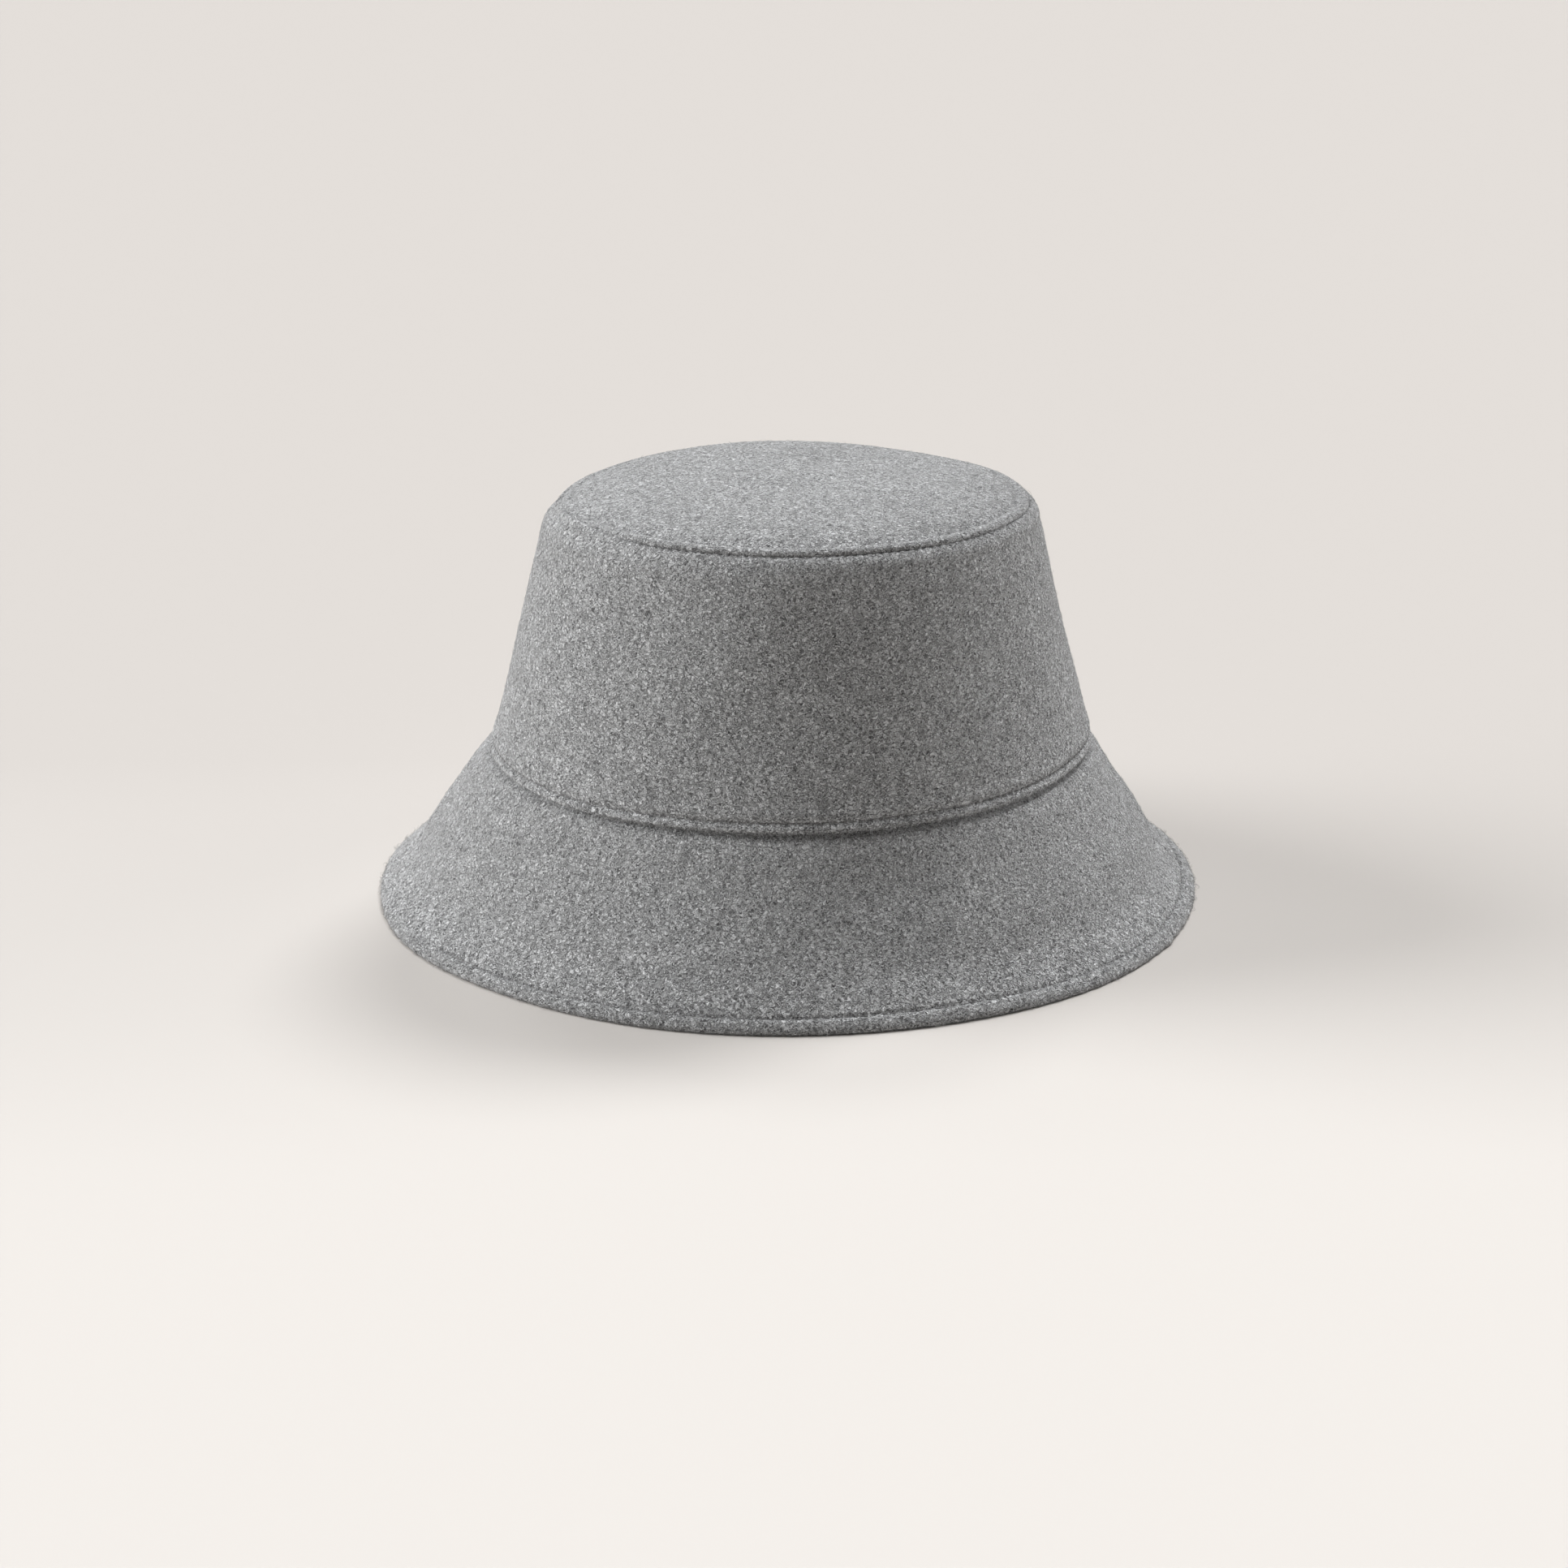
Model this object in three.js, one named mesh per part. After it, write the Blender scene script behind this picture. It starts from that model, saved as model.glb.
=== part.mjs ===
// Grey wool bucket hat, millimetres, +Z up, front towards -Y.
//
// The hat is sewn from flat cut pieces: an oval crown tip, a two-piece crown side, a two-piece
// brim with a top and an under layer, interlinings between them, a loose lining, a sweatband,
// labels and rows of thread. The origin is under the middle of the hat, at the height of the
// brim edge that it stands on.
//
// Every piece is first drawn as a section in a round hat, as (radius, height), and turned about
// Z. makeOval() then makes the hat longer from front to back than it is wide, as a head is.

import * as THREE from 'three';

const v2 = (radius, height) => new THREE.Vector2(radius, height);

// ---- driving dimensions ------------------------------------------------------------------

const ovalExtra = 6.5; // how much longer each radius is towards the front and the back
const ovalFullRadius = 60; // the tip's oval grows from a point to its full size by this radius

const seamRadius = 93.5; // outside of the crown where it meets the brim
const seamHeight = 46;
const waist = { radius: 85.5, height: 74 }; // pull point of the crown side's gentle curve
const shoulder = { radius: 76.5, height: 112 }; // where the side starts to roll over the top
const shoulderRoll = [v2(75.5, 115.8), v2(73.9, 118.7), v2(71.9, 120.3)]; // outside of the roll
const shoulderRollBack = [v2(72.7, 117.5), v2(73.9, 115.1)]; // inside of it, going down
const foldHeight = 117; // where the side's turned-down allowance leaves the roll
const tipRadius = 70.3; // seam between crown side and crown tip
const tipSeamHeight = 120.9;
const tipRings = [68.6, 64, 56, 42, 22]; // radii at which the tip's flats meet
const domeRise = 7.1; // how far the middle of the tip stands over its seam
const domePower = 4.5; // flat in the middle and steep close to the seam

const brimEdgeRadius = 127.5;
const brimPull = { radius: 107.4, height: 22.9 }; // pull point of the brim's hollow curve
const brimEdgeSlope = -44.6; // degrees below level at the edge
const noseTop = 20; // degrees from level, round the brim's edge: where its upper curve starts,
const noseTopLayerEnd = -58; // where the top layer ends,
const noseUnderLayerStart = -66; // where the under layer starts
const noseUnderLayerInside = -112; // and where its hidden face turns level
const restHalfWidth = 0.8; // of the narrow flat that the hat stands on

const clearance = 0.3; // between pieces that touch
const crownWool = 1.7;
const brimWool = 1.5;
const interliningThickness = 0.6;
const stiffenerThickness = 0.8;
const liningThickness = 0.5;
const sweatbandThickness = 0.8;
const threadRadius = 0.35;

// Shares of the length of the side's curve (from its seam up) or of the brim's (from its seam out).
const seamAllowance = 0.15; // top of the brim's turned-up allowance, on the side
const sweatband = { from: 0.015, row: 0.045, to: 0.5 }; // lower edge, its stitches, free top edge
const interliningStart = 0.18; // lower edge of the side's interlining
const brimFillStart = 0.15; // inner edge of the brim's stiffener and of the under layer's slope
const brimFillEnd = 0.94; // outer edge of the stiffener
const liningStart = 0.01;

const tipAllowanceDrop = 1; // how far the tip seam's allowances reach below the shoulder
const interliningRings = [67.9, 60, 44, 22];
const liningRings = [66.8, 58, 42, 20];
const liningSeam = v2(67.2, 117.4); // inside of the lining's side where it meets its tip
const liningTipDrop = 4.2; // how far the lining's tip hangs below the dome
const liningSlack = 2.6; // how much further in the lining hangs at the top than at the bottom

const topstitchAboveSeam = 3.3;
const topstitchFromEdge = 3.2; // from the start of the rounded edge
const tipTopstitch = v2(71.2, 121.3);

const turnSegments = 40; // flats in a full turn
const halfTurnSegments = turnSegments / 2;
const sideSeamGap = 0.2; // degrees left open at each end of a half panel

// ---- curves of the outer surface -----------------------------------------------------------

const crownCurve = new THREE.QuadraticBezierCurve(
  v2(seamRadius, seamHeight),
  v2(waist.radius, waist.height),
  v2(shoulder.radius, shoulder.height),
);

// Point on a curve, moved square to it by a depth towards the inside of the hat.
function inside(curve, share, depth) {
  const point = curve.getPoint(share);
  const along = curve.getTangent(share);
  const side = curve === crownCurve ? -1 : 1;
  return point.add(v2(side * along.y, -side * along.x).multiplyScalar(depth));
}

const brimLayers = crownWool + clearance; // depth of the brim's top face below the crown's
const brimThickness = 2 * brimWool + stiffenerThickness + 2 * clearance;
const noseRadius = brimThickness / 2;
const nose = v2(brimEdgeRadius - noseRadius, noseRadius); // centre of the rounded brim edge
const edgeNormal = THREE.MathUtils.degToRad(90 + brimEdgeSlope);

const brimCurve = new THREE.QuadraticBezierCurve(
  inside(crownCurve, 0, brimLayers),
  v2(brimPull.radius, brimPull.height),
  v2(nose.x + noseRadius * Math.cos(edgeNormal), nose.y + noseRadius * Math.sin(edgeNormal)),
);

function shares(from, to, count) {
  return Array.from({ length: count }, (_, i) => from + ((to - from) * i) / (count - 1));
}

function noseArc(radius, fromDegrees, toDegrees, count) {
  return shares(fromDegrees, toDegrees, count).map((degrees) => {
    const angle = THREE.MathUtils.degToRad(degrees);
    return v2(nose.x + radius * Math.cos(angle), nose.y + radius * Math.sin(angle));
  });
}

function domeHeight(radius) {
  return tipSeamHeight + domeRise * (1 - (radius / tipRadius) ** domePower);
}

// ---- sections to solids --------------------------------------------------------------------

function makeOval(geometry) {
  const position = geometry.attributes.position;
  for (let i = 0; i < position.count; i += 1) {
    const x = position.getX(i);
    const y = position.getY(i);
    const radius = Math.hypot(x, y);
    if (radius < 1e-6) continue;
    const grow = Math.sin((Math.PI / 2) * Math.min(1, radius / ovalFullRadius));
    position.setY(i, y * (1 + (ovalExtra * grow) / radius));
  }
  return geometry;
}

// A full turn of a section. A ring's section is closed; a disc's starts and ends on the axis.
function turned(section, closed = true) {
  const profile = closed ? [...section, section[0]] : section;
  const geometry = new THREE.LatheGeometry(profile, turnSegments);
  geometry.rotateX(Math.PI / 2);
  geometry.rotateZ(-Math.PI / 2);
  return makeOval(geometry);
}

// Part of a turn of a section, from one angle to another (degrees, 0 = +X, 90 = +Y).
function arcPanel(section, fromDegrees, toDegrees, steps) {
  const geometry = new THREE.ExtrudeGeometry(new THREE.Shape(section), {
    depth: 1,
    steps,
    bevelEnabled: false,
  });
  const position = geometry.attributes.position;
  for (let i = 0; i < position.count; i += 1) {
    const radius = position.getX(i);
    const height = position.getY(i);
    const degrees = toDegrees + (fromDegrees - toDegrees) * position.getZ(i);
    const angle = THREE.MathUtils.degToRad(degrees);
    position.setXYZ(i, radius * Math.cos(angle), radius * Math.sin(angle), height);
  }
  return makeOval(geometry);
}

function backHalf(section) {
  return arcPanel(section, sideSeamGap, 180 - sideSeamGap, halfTurnSegments);
}

function frontHalf(section) {
  return arcPanel(section, 180 + sideSeamGap, 360 - sideSeamGap, halfTurnSegments);
}

// A layer that follows a curve between two depths below it, drawn anticlockwise.
function layer(curve, positions, outerDepth, innerDepth) {
  const outer = positions.map((share) => inside(curve, share, outerDepth));
  const inner = positions.map((share) => inside(curve, share, innerDepth));
  return [...outer, ...inner.reverse()];
}

// A thread lying along the hat, as a thin three-sided ring round a centre.
function threadRing(centre) {
  const corners = [0, 120, 240].map((degrees) => {
    const angle = THREE.MathUtils.degToRad(degrees);
    return v2(centre.x + threadRadius * Math.cos(angle), centre.y + threadRadius * Math.sin(angle));
  });
  return turned(corners);
}

// ---- wool ------------------------------------------------------------------------------------

// The side rises from the brim seam, rolls over the shoulder and turns down inside as its seam
// allowance, next to the tip's.
function crownSideSection() {
  const rise = shares(0, 1, 7);
  const outer = rise.map((share) => inside(crownCurve, share, 0));
  const inner = rise.map((share) => inside(crownCurve, share, crownWool));
  const foldFace = tipRadius + clearance;
  const foldBack = foldFace + brimWool;
  const foldBottom = shoulder.height - tipAllowanceDrop;
  const fold = [
    v2(foldFace, tipSeamHeight - brimWool),
    v2(foldFace, foldBottom),
    v2(foldBack, foldBottom),
    v2(foldBack, foldHeight),
  ];
  return [...outer, ...shoulderRoll, ...fold, ...shoulderRollBack, ...inner.reverse()];
}

// The tip is a shallow lid: a puffed top with its allowance turned down inside the side's.
function crownTipSection() {
  const flangeInside = tipRadius - brimWool;
  const flangeBottom = shoulder.height - tipAllowanceDrop;
  const outer = tipRings.map((radius) => v2(radius, domeHeight(radius)));
  const inner = tipRings.slice(1).map((radius) => v2(radius, domeHeight(radius) - crownWool));
  return [
    v2(0, domeHeight(0) - crownWool),
    ...inner.reverse(),
    v2(flangeInside, domeHeight(flangeInside) - crownWool),
    v2(flangeInside, flangeBottom),
    v2(tipRadius, flangeBottom),
    v2(tipRadius, tipSeamHeight - clearance),
    ...outer,
    v2(0, domeHeight(0)),
  ];
}

// The brim's top layer: turned up behind the crown, out along the brim and round its edge.
function brimTopSection() {
  const upturn = shares(seamAllowance, 0, 3);
  const along = shares(0, 1, 6);
  const outer = [
    ...upturn.map((share) => inside(crownCurve, share, brimLayers)),
    ...along.slice(1).map((share) => inside(brimCurve, share, 0)),
    ...noseArc(noseRadius, noseTop, noseTopLayerEnd, 4),
  ];
  const inner = [
    ...upturn.map((share) => inside(crownCurve, share, brimLayers + brimWool)),
    ...along.slice(1).map((share) => inside(brimCurve, share, brimWool)),
    ...noseArc(noseRadius - brimWool, noseTop, noseTopLayerEnd, 4),
  ];
  return [...inner, ...outer.reverse()];
}

// The under layer mirrors it, and has the flat that the hat stands on.
function brimUnderSection() {
  const upturn = shares(seamAllowance, 0, 3);
  const along = shares(brimFillStart, 1, 5);
  const depth = brimThickness - brimWool;
  const upturnDepth = brimLayers + brimWool + clearance;
  const outer = [
    ...upturn.map((share) => inside(crownCurve, share, upturnDepth)),
    ...along.map((share) => inside(brimCurve, share, depth)),
    ...noseArc(noseRadius - brimWool, noseUnderLayerInside, noseUnderLayerStart, 2),
  ];
  const inner = [
    ...upturn.map((share) => inside(crownCurve, share, upturnDepth + brimWool - clearance)),
    ...along.map((share) => inside(brimCurve, share, brimThickness)),
    v2(nose.x - restHalfWidth, 0),
    v2(nose.x + restHalfWidth, 0),
    ...noseArc(noseRadius, noseUnderLayerStart, noseUnderLayerStart, 2).slice(1),
  ];
  return [...inner, ...outer.reverse()];
}

// ---- hidden layers ----------------------------------------------------------------------------

function crownInterliningSection() {
  const depth = crownWool + clearance;
  return layer(crownCurve, shares(interliningStart, 1, 5), depth, depth + interliningThickness);
}

// A disc under the dome, between two drops below its top face.
function domedDisc(rings, drop, thickness) {
  const top = rings.map((radius) => v2(radius, domeHeight(radius) - drop));
  const base = rings.map((radius) => v2(radius, domeHeight(radius) - drop - thickness));
  return [
    v2(0, domeHeight(0) - drop - thickness),
    ...base.reverse(),
    ...top,
    v2(0, domeHeight(0) - drop),
  ];
}

function tipInterliningSection() {
  return domedDisc(interliningRings, crownWool + clearance, interliningThickness);
}

function brimStiffenerSection() {
  const depth = brimWool + clearance;
  const positions = shares(brimFillStart, brimFillEnd, 5);
  return layer(brimCurve, positions, depth, depth + stiffenerThickness).reverse();
}

// ---- inside of the hat -------------------------------------------------------------------------

const liningGap = 0.1;
const liningDepth = brimLayers + 2 * brimWool + clearance + liningGap;

function liningDepthAt(share) {
  return liningDepth + liningSlack * Math.max(0, (share - sweatband.to) / (1 - sweatband.to));
}

function liningSideSection() {
  const rise = shares(liningStart, 1, 6);
  const outer = rise.map((share) => inside(crownCurve, share, liningDepthAt(share)));
  const inner = rise.map((share) => {
    return inside(crownCurve, share, liningDepthAt(share) + liningThickness);
  });
  return [
    ...outer,
    v2(liningSeam.x + liningThickness, liningSeam.y),
    liningSeam,
    ...inner.reverse(),
  ];
}

function liningTipSection() {
  return domedDisc(liningRings, liningTipDrop, liningThickness);
}

const sweatbandDepth = liningDepth + liningThickness + clearance;
const sweatbandFace = sweatbandDepth + sweatbandThickness;

function sweatbandSection() {
  const positions = shares(sweatband.from, sweatband.to, 4);
  return layer(crownCurve, positions, sweatbandDepth, sweatbandFace);
}

// A blank woven label stitched flat on the lining at the centre back, over the care label.
const makerLabel = { from: 0.69, to: 0.88, halfTurn: 14, thickness: 0.4 };

function makerLabelSolid() {
  const at = (share, extra) => {
    return inside(crownCurve, share, liningDepthAt(share) + liningThickness + clearance + extra);
  };
  const positions = shares(makerLabel.from, makerLabel.to, 2);
  const outer = positions.map((share) => at(share, 0));
  const inner = positions.map((share) => at(share, makerLabel.thickness));
  const section = [...outer, ...inner.reverse()];
  return arcPanel(section, 90 - makerLabel.halfTurn, 90 + makerLabel.halfTurn, 6);
}

// A small blank tab stitched flat on the sweatband, beside the centre back.
const sizeTab = { from: 0.26, to: 0.42, startAngle: 112, endAngle: 121, thickness: 0.4 };

function sizeTabSolid() {
  const depth = sweatbandFace + clearance;
  const section = layer(crownCurve, [sizeTab.from, sizeTab.to], depth, depth + sizeTab.thickness);
  return arcPanel(section, sizeTab.startAngle, sizeTab.endAngle, 2);
}

// The care label: a flat strip that hangs from its top edge and swings inwards and up.
const careLabel = {
  width: 22,
  length: 30,
  thickness: 0.4,
  corner: 1.5,
  hingeY: 81.2,
  hingeHeight: 85.6,
};

function careLabelSolid() {
  const half = careLabel.width / 2;
  const { corner } = careLabel;
  const outline = new THREE.Shape([
    v2(-half, 0),
    v2(-half, corner - careLabel.length),
    v2(corner - half, -careLabel.length),
    v2(half - corner, -careLabel.length),
    v2(half, corner - careLabel.length),
    v2(half, 0),
  ]);
  const geometry = new THREE.ExtrudeGeometry(outline, {
    depth: careLabel.thickness,
    bevelEnabled: false,
  });
  geometry.translate(0, 0, -careLabel.thickness / 2);
  geometry.rotateX(Math.PI / 2);
  return geometry;
}

// ---- threads ------------------------------------------------------------------------------------

const threadLift = threadRadius + clearance;
const crownLength = crownCurve.getLength();
const brimLength = brimCurve.getLength();

function threads() {
  const aboveSeam = topstitchAboveSeam / crownLength;
  const fromEdge = 1 - topstitchFromEdge / brimLength;
  return {
    tip_topstitch: tipTopstitch,
    crown_base_topstitch: inside(crownCurve, aboveSeam, -threadLift),
    brim_edge_topstitch: inside(brimCurve, fromEdge, -threadLift),
    brim_edge_underthread: inside(brimCurve, fromEdge, brimThickness + threadLift),
    sweatband_stitch: inside(crownCurve, sweatband.row, sweatbandFace + threadLift),
  };
}

// ---- assembly -------------------------------------------------------------------------------------

const hat = new THREE.Group();

function fabric(color, roughness) {
  return new THREE.MeshStandardMaterial({ color, roughness, metalness: 0 });
}

function add(name, geometry, material) {
  const mesh = new THREE.Mesh(geometry, material);
  mesh.name = name;
  hat.add(mesh);
  return mesh;
}

function addHalves(name, section, color, roughness) {
  add(`${name}_front`, frontHalf(section), fabric(color, roughness));
  add(`${name}_back`, backHalf(section), fabric(color, roughness));
}

const woolGrey = 0xb6b6b6;
const stiffWhite = 0xdedbd2;
const liningGrey = 0x3c3d40;
const sweatbandGrey = 0x2b2c2e;
const labelWhite = 0xe9e7e1;
const threadGrey = 0x7c7c7c;

add('crown_tip', turned(crownTipSection(), false), fabric(woolGrey, 0.95));
addHalves('crown_side', crownSideSection(), woolGrey, 0.95);
addHalves('brim_top', brimTopSection(), woolGrey, 0.95);
addHalves('brim_under', brimUnderSection(), woolGrey, 0.95);

add('tip_interlining', turned(tipInterliningSection(), false), fabric(stiffWhite, 0.9));
addHalves('crown_interlining', crownInterliningSection(), stiffWhite, 0.9);
addHalves('brim_stiffener', brimStiffenerSection(), stiffWhite, 0.9);

add('lining_tip', turned(liningTipSection(), false), fabric(liningGrey, 0.45));
addHalves('lining_side', liningSideSection(), liningGrey, 0.45);
add('sweatband', turned(sweatbandSection()), fabric(sweatbandGrey, 0.8));

add('maker_label', makerLabelSolid(), fabric(labelWhite, 0.7));
add('size_tab', sizeTabSolid(), fabric(labelWhite, 0.7));
const care = add('care_label', careLabelSolid(), fabric(labelWhite, 0.6));
care.position.set(0, careLabel.hingeY, careLabel.hingeHeight);

for (const [name, centre] of Object.entries(threads())) {
  add(name, threadRing(centre), fabric(threadGrey, 0.7));
}

export default hat;
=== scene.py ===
"""Grey wool bucket hat: the looks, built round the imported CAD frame.

Every piece is drawn in cloth coordinates: the distance along a path in the hat's section, the
depth under that path's face, and the angle round the hat. place() turns those into a point,
make_oval() gives the hat its longer front-to-back shape, and settle() adds the small
unevenness of a real, handled hat. All pieces share them, so the layers stay on each other.
Lengths are in millimetres until a mesh is made.
"""

import math

import bpy
import numpy as np
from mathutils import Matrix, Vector


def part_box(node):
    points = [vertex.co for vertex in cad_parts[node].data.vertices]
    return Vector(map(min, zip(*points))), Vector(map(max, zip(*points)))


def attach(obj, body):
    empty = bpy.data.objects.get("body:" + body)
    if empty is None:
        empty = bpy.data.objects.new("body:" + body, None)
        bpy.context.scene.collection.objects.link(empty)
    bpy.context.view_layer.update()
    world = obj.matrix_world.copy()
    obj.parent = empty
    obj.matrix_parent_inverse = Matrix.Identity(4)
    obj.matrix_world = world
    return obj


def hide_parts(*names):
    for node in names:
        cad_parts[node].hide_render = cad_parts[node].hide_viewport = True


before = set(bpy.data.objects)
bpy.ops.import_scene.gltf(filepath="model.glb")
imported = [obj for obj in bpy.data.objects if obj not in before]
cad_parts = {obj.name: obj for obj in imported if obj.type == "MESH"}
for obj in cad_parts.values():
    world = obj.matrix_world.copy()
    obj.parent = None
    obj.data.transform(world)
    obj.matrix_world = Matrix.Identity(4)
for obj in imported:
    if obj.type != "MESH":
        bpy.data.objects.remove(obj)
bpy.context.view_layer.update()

MM = 0.001
TAU = 2 * math.pi


# ---- sizes, from the frame -------------------------------------------------------------------

def node_box(node):
    low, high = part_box(node)
    return np.array(low) / MM, np.array(high) / MM


side_low, side_high = node_box("crown_side_front")
tip_low, tip_high = node_box("crown_tip")
edge_low, edge_high = node_box("brim_top_front")
care_low, care_high = node_box("care_label")
maker_low, maker_high = node_box("maker_label")
tab_low, tab_high = node_box("size_tab")

SEAM_RADIUS = side_high[0]
OVAL_EXTRA = -side_low[1] - side_high[0]  # how much longer each radius is from front to back
OVAL_FULL = 60.0  # the oval grows from a point to its full size by this radius
CROWN_WOOL = 1.7
SEAM_HEIGHT = side_low[2] + 0.27 * CROWN_WOOL  # the side's cut edge slopes below its face
TIP_RADIUS = tip_high[0]
TOP_HEIGHT = tip_high[2]
TIP_SEAM = side_high[2]
SHOULDER_RADIUS = TIP_RADIUS + 6.2
SHOULDER_HEIGHT = tip_low[2] + 1.0
WAIST = (SEAM_RADIUS - 8.0, SEAM_HEIGHT + 28.0)  # pull point of the crown's gentle curve
EDGE_RADIUS = edge_high[0]

GAP = 0.3  # between layers
BRIM_WOOL = 1.5
STIFFENER = 0.8
BRIM_DEPTH = 2 * BRIM_WOOL + STIFFENER + 2 * GAP
NOSE = 1.15  # radius of the brim's pressed edge
NOSE_CENTRE = (EDGE_RADIUS - NOSE, NOSE)
BRIM_PULL = (SEAM_RADIUS + 13.9, SEAM_HEIGHT / 2)  # pull point of the brim's hollow curve
BRIM_EDGE_SLOPE = math.radians(-44.6)
LAP = CROWN_WOOL + GAP  # how far the brim lies behind the crown's face at their seam

WELT = 3.3  # from the crown's hem up to its stitches
EDGE_ROW = 3.2  # from the start of the brim's rounded edge in to its stitches
STITCH_PITCH = 2.7
HEM = 1.1  # the crown's folded lower edge ends this far above the brim seam
ALLOWANCE = 9.5  # height of the brim's turned-up allowance behind the crown
TIP_ALLOWANCE = 4.0  # how far the tip turns down inside the crown side
SIDE_ALLOWANCE = 2.5  # how far the crown side turns down inside itself

CROWN_CLOTH = 1.1  # thickness drawn for the crown side, which is pressed flat at its seams
EDGE_WOOL = NOSE  # thickness drawn for the brim's layers, which fill its pressed edge


# ---- paths in the hat's section --------------------------------------------------------------

def bezier(points, count):
    """Points along a Bezier curve of any degree."""
    points = np.array(points, float)[:, None, :]
    t = np.linspace(0, 1, count)[:, None]
    while len(points) > 1:
        points = points[:-1] * (1 - t) + points[1:] * t
    return points[0]


class Path:
    """A smooth line in the section, with the side that shows given by side: 1 right, -1 left."""

    def __init__(self, pieces, side, start=0.0):
        points = np.concatenate([pieces[0]] + [piece[1:] for piece in pieces[1:]])
        steps = np.hypot(*np.diff(points, axis=0).T)
        keep = np.concatenate([[True], steps > 1e-6])
        points = points[keep]
        steps = np.hypot(*np.diff(points, axis=0).T)
        self.length = np.concatenate([[0], np.cumsum(steps)]) + start
        self.points = points
        along = np.gradient(points, self.length, axis=0)
        along /= np.hypot(*along.T)[:, None]
        self.along = along
        self.normal = side * np.stack([along[:, 1], -along[:, 0]], 1)
        self.first, self.last = self.length[0], self.length[-1]

    def at(self, s, depth):
        """Radius and height at a distance along the path and a depth under its face."""
        inside = np.clip(s, self.first, self.last)
        point = [np.interp(inside, self.length, self.points[:, k]) for k in (0, 1)]
        normal = [np.interp(inside, self.length, self.normal[:, k]) for k in (0, 1)]
        along = [np.interp(inside, self.length, self.along[:, k]) for k in (0, 1)]
        beyond = s - inside
        return tuple(point[k] - normal[k] * depth + along[k] * beyond for k in (0, 1))


def smooth(x):
    """An even rise from 0 to 1 as x goes from 0 to 1."""
    x = np.clip(x, 0, 1)
    return x * x * (3 - 2 * x)


def offset_line(path, start, stop, depth, count):
    """Points that follow another path at a depth under it."""
    return np.stack(path.at(np.linspace(start, stop, count), depth), 1)


side_curve = bezier([(SEAM_RADIUS, SEAM_HEIGHT), WAIST, (SHOULDER_RADIUS, SHOULDER_HEIGHT)], 80)
RIM = (TIP_RADIUS + 0.8, TIP_SEAM + 1.1)  # where the side meets the tip
shoulder_roll = bezier(
    [
        (SHOULDER_RADIUS, SHOULDER_HEIGHT),
        (SHOULDER_RADIUS - 1.0, SHOULDER_HEIGHT + 5.0),
        (TIP_RADIUS + 3.7, TIP_SEAM - 0.3),
        RIM,
    ],
    30,
)
turned_in = bezier(
    [
        RIM,
        (TIP_RADIUS + 0.3, TIP_SEAM + 1.3),
        (TIP_RADIUS + 0.3, TIP_SEAM - 6.0),
    ],
    12,
)
CROWN = Path([side_curve, shoulder_roll, turned_in], side=1)
CROWN_SEAM_TOP = Path([side_curve, shoulder_roll], side=1).last

DIP = (TIP_RADIUS - 3.3, TIP_SEAM + 2.6)  # the tip sinks a little before its seam's welt,
RIDGE = (TIP_RADIUS - 2.0, TIP_SEAM + 2.8)  # rises over it
LIP = (TIP_RADIUS + 0.7, TIP_SEAM + 1.25)  # and meets the side
dome = bezier(
    [(0, TOP_HEIGHT), (38, TOP_HEIGHT), (57, TOP_HEIGHT - 0.6), (64.5, TIP_SEAM + 4.4), DIP],
    60,
)
welt_dip = bezier([DIP, (DIP[0] + 0.6, DIP[1] - 0.1), RIDGE], 8)
welt = bezier(
    [RIDGE, (TIP_RADIUS - 0.5, TIP_SEAM + 3.0), (TIP_RADIUS + 0.9, TIP_SEAM + 2.4), LIP],
    20,
)
flange = bezier([LIP, (TIP_RADIUS - 0.1, TIP_SEAM - 0.4), (TIP_RADIUS - 0.2, TIP_SEAM - 6)], 10)
TIP = Path([dome, welt_dip, welt, flange], side=-1)
TIP_RIDGE = Path([dome, welt_dip], side=-1).last
TIP_LIP = Path([dome, welt_dip, welt], side=-1).last


def nose_arc(start, stop, count):
    """Points round the brim's edge, between two angles from level in degrees."""
    angles = np.radians(np.linspace(start, stop, count))
    return NOSE_CENTRE + NOSE * np.stack([np.cos(angles), np.sin(angles)], 1)


edge_normal = 90 + math.degrees(BRIM_EDGE_SLOPE)
brim_curve = bezier([CROWN.at(0.0, LAP), BRIM_PULL, nose_arc(edge_normal, edge_normal, 1)[0]], 80)
BRIM_FLAT = Path([brim_curve], side=-1)
BRIM = Path(
    [offset_line(CROWN, ALLOWANCE, 0.0, LAP, 10), brim_curve, nose_arc(edge_normal, -60, 14)],
    side=-1,
    start=-ALLOWANCE,
)
BRIM_LENGTH = BRIM_FLAT.last


def under_depth(s):
    """The layers are pressed closer together where the edge is stitched."""
    return BRIM_DEPTH - (BRIM_DEPTH - 2 * NOSE) * smooth((s - BRIM_LENGTH + 13) / 10)


under_marks = np.linspace(BRIM_LENGTH, 7.0, 50)
under_curve = np.stack(BRIM_FLAT.at(under_marks, under_depth(under_marks)), 1)
under_upturn = offset_line(CROWN, 1.0, ALLOWANCE, LAP + 2 * BRIM_WOOL + 0.1, 10)
REST_HALF_WIDTH = 0.6  # of the flat that the hat stands on
rest_flat = [(NOSE_CENTRE[0] + side * REST_HALF_WIDTH, 0.0) for side in (1, -1)]
UNDER = Path(
    [
        nose_arc(-64, -66, 2),
        rest_flat,
        nose_arc(-112, edge_normal - 180, 5),
        under_curve,
        under_upturn,
    ],
    side=-1,
)


# ---- from cloth coordinates to points --------------------------------------------------------

def bump(x, width):
    """A soft bell, 1 at 0 and gone at about twice its width."""
    return np.exp(-((x / width) ** 2))


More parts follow.
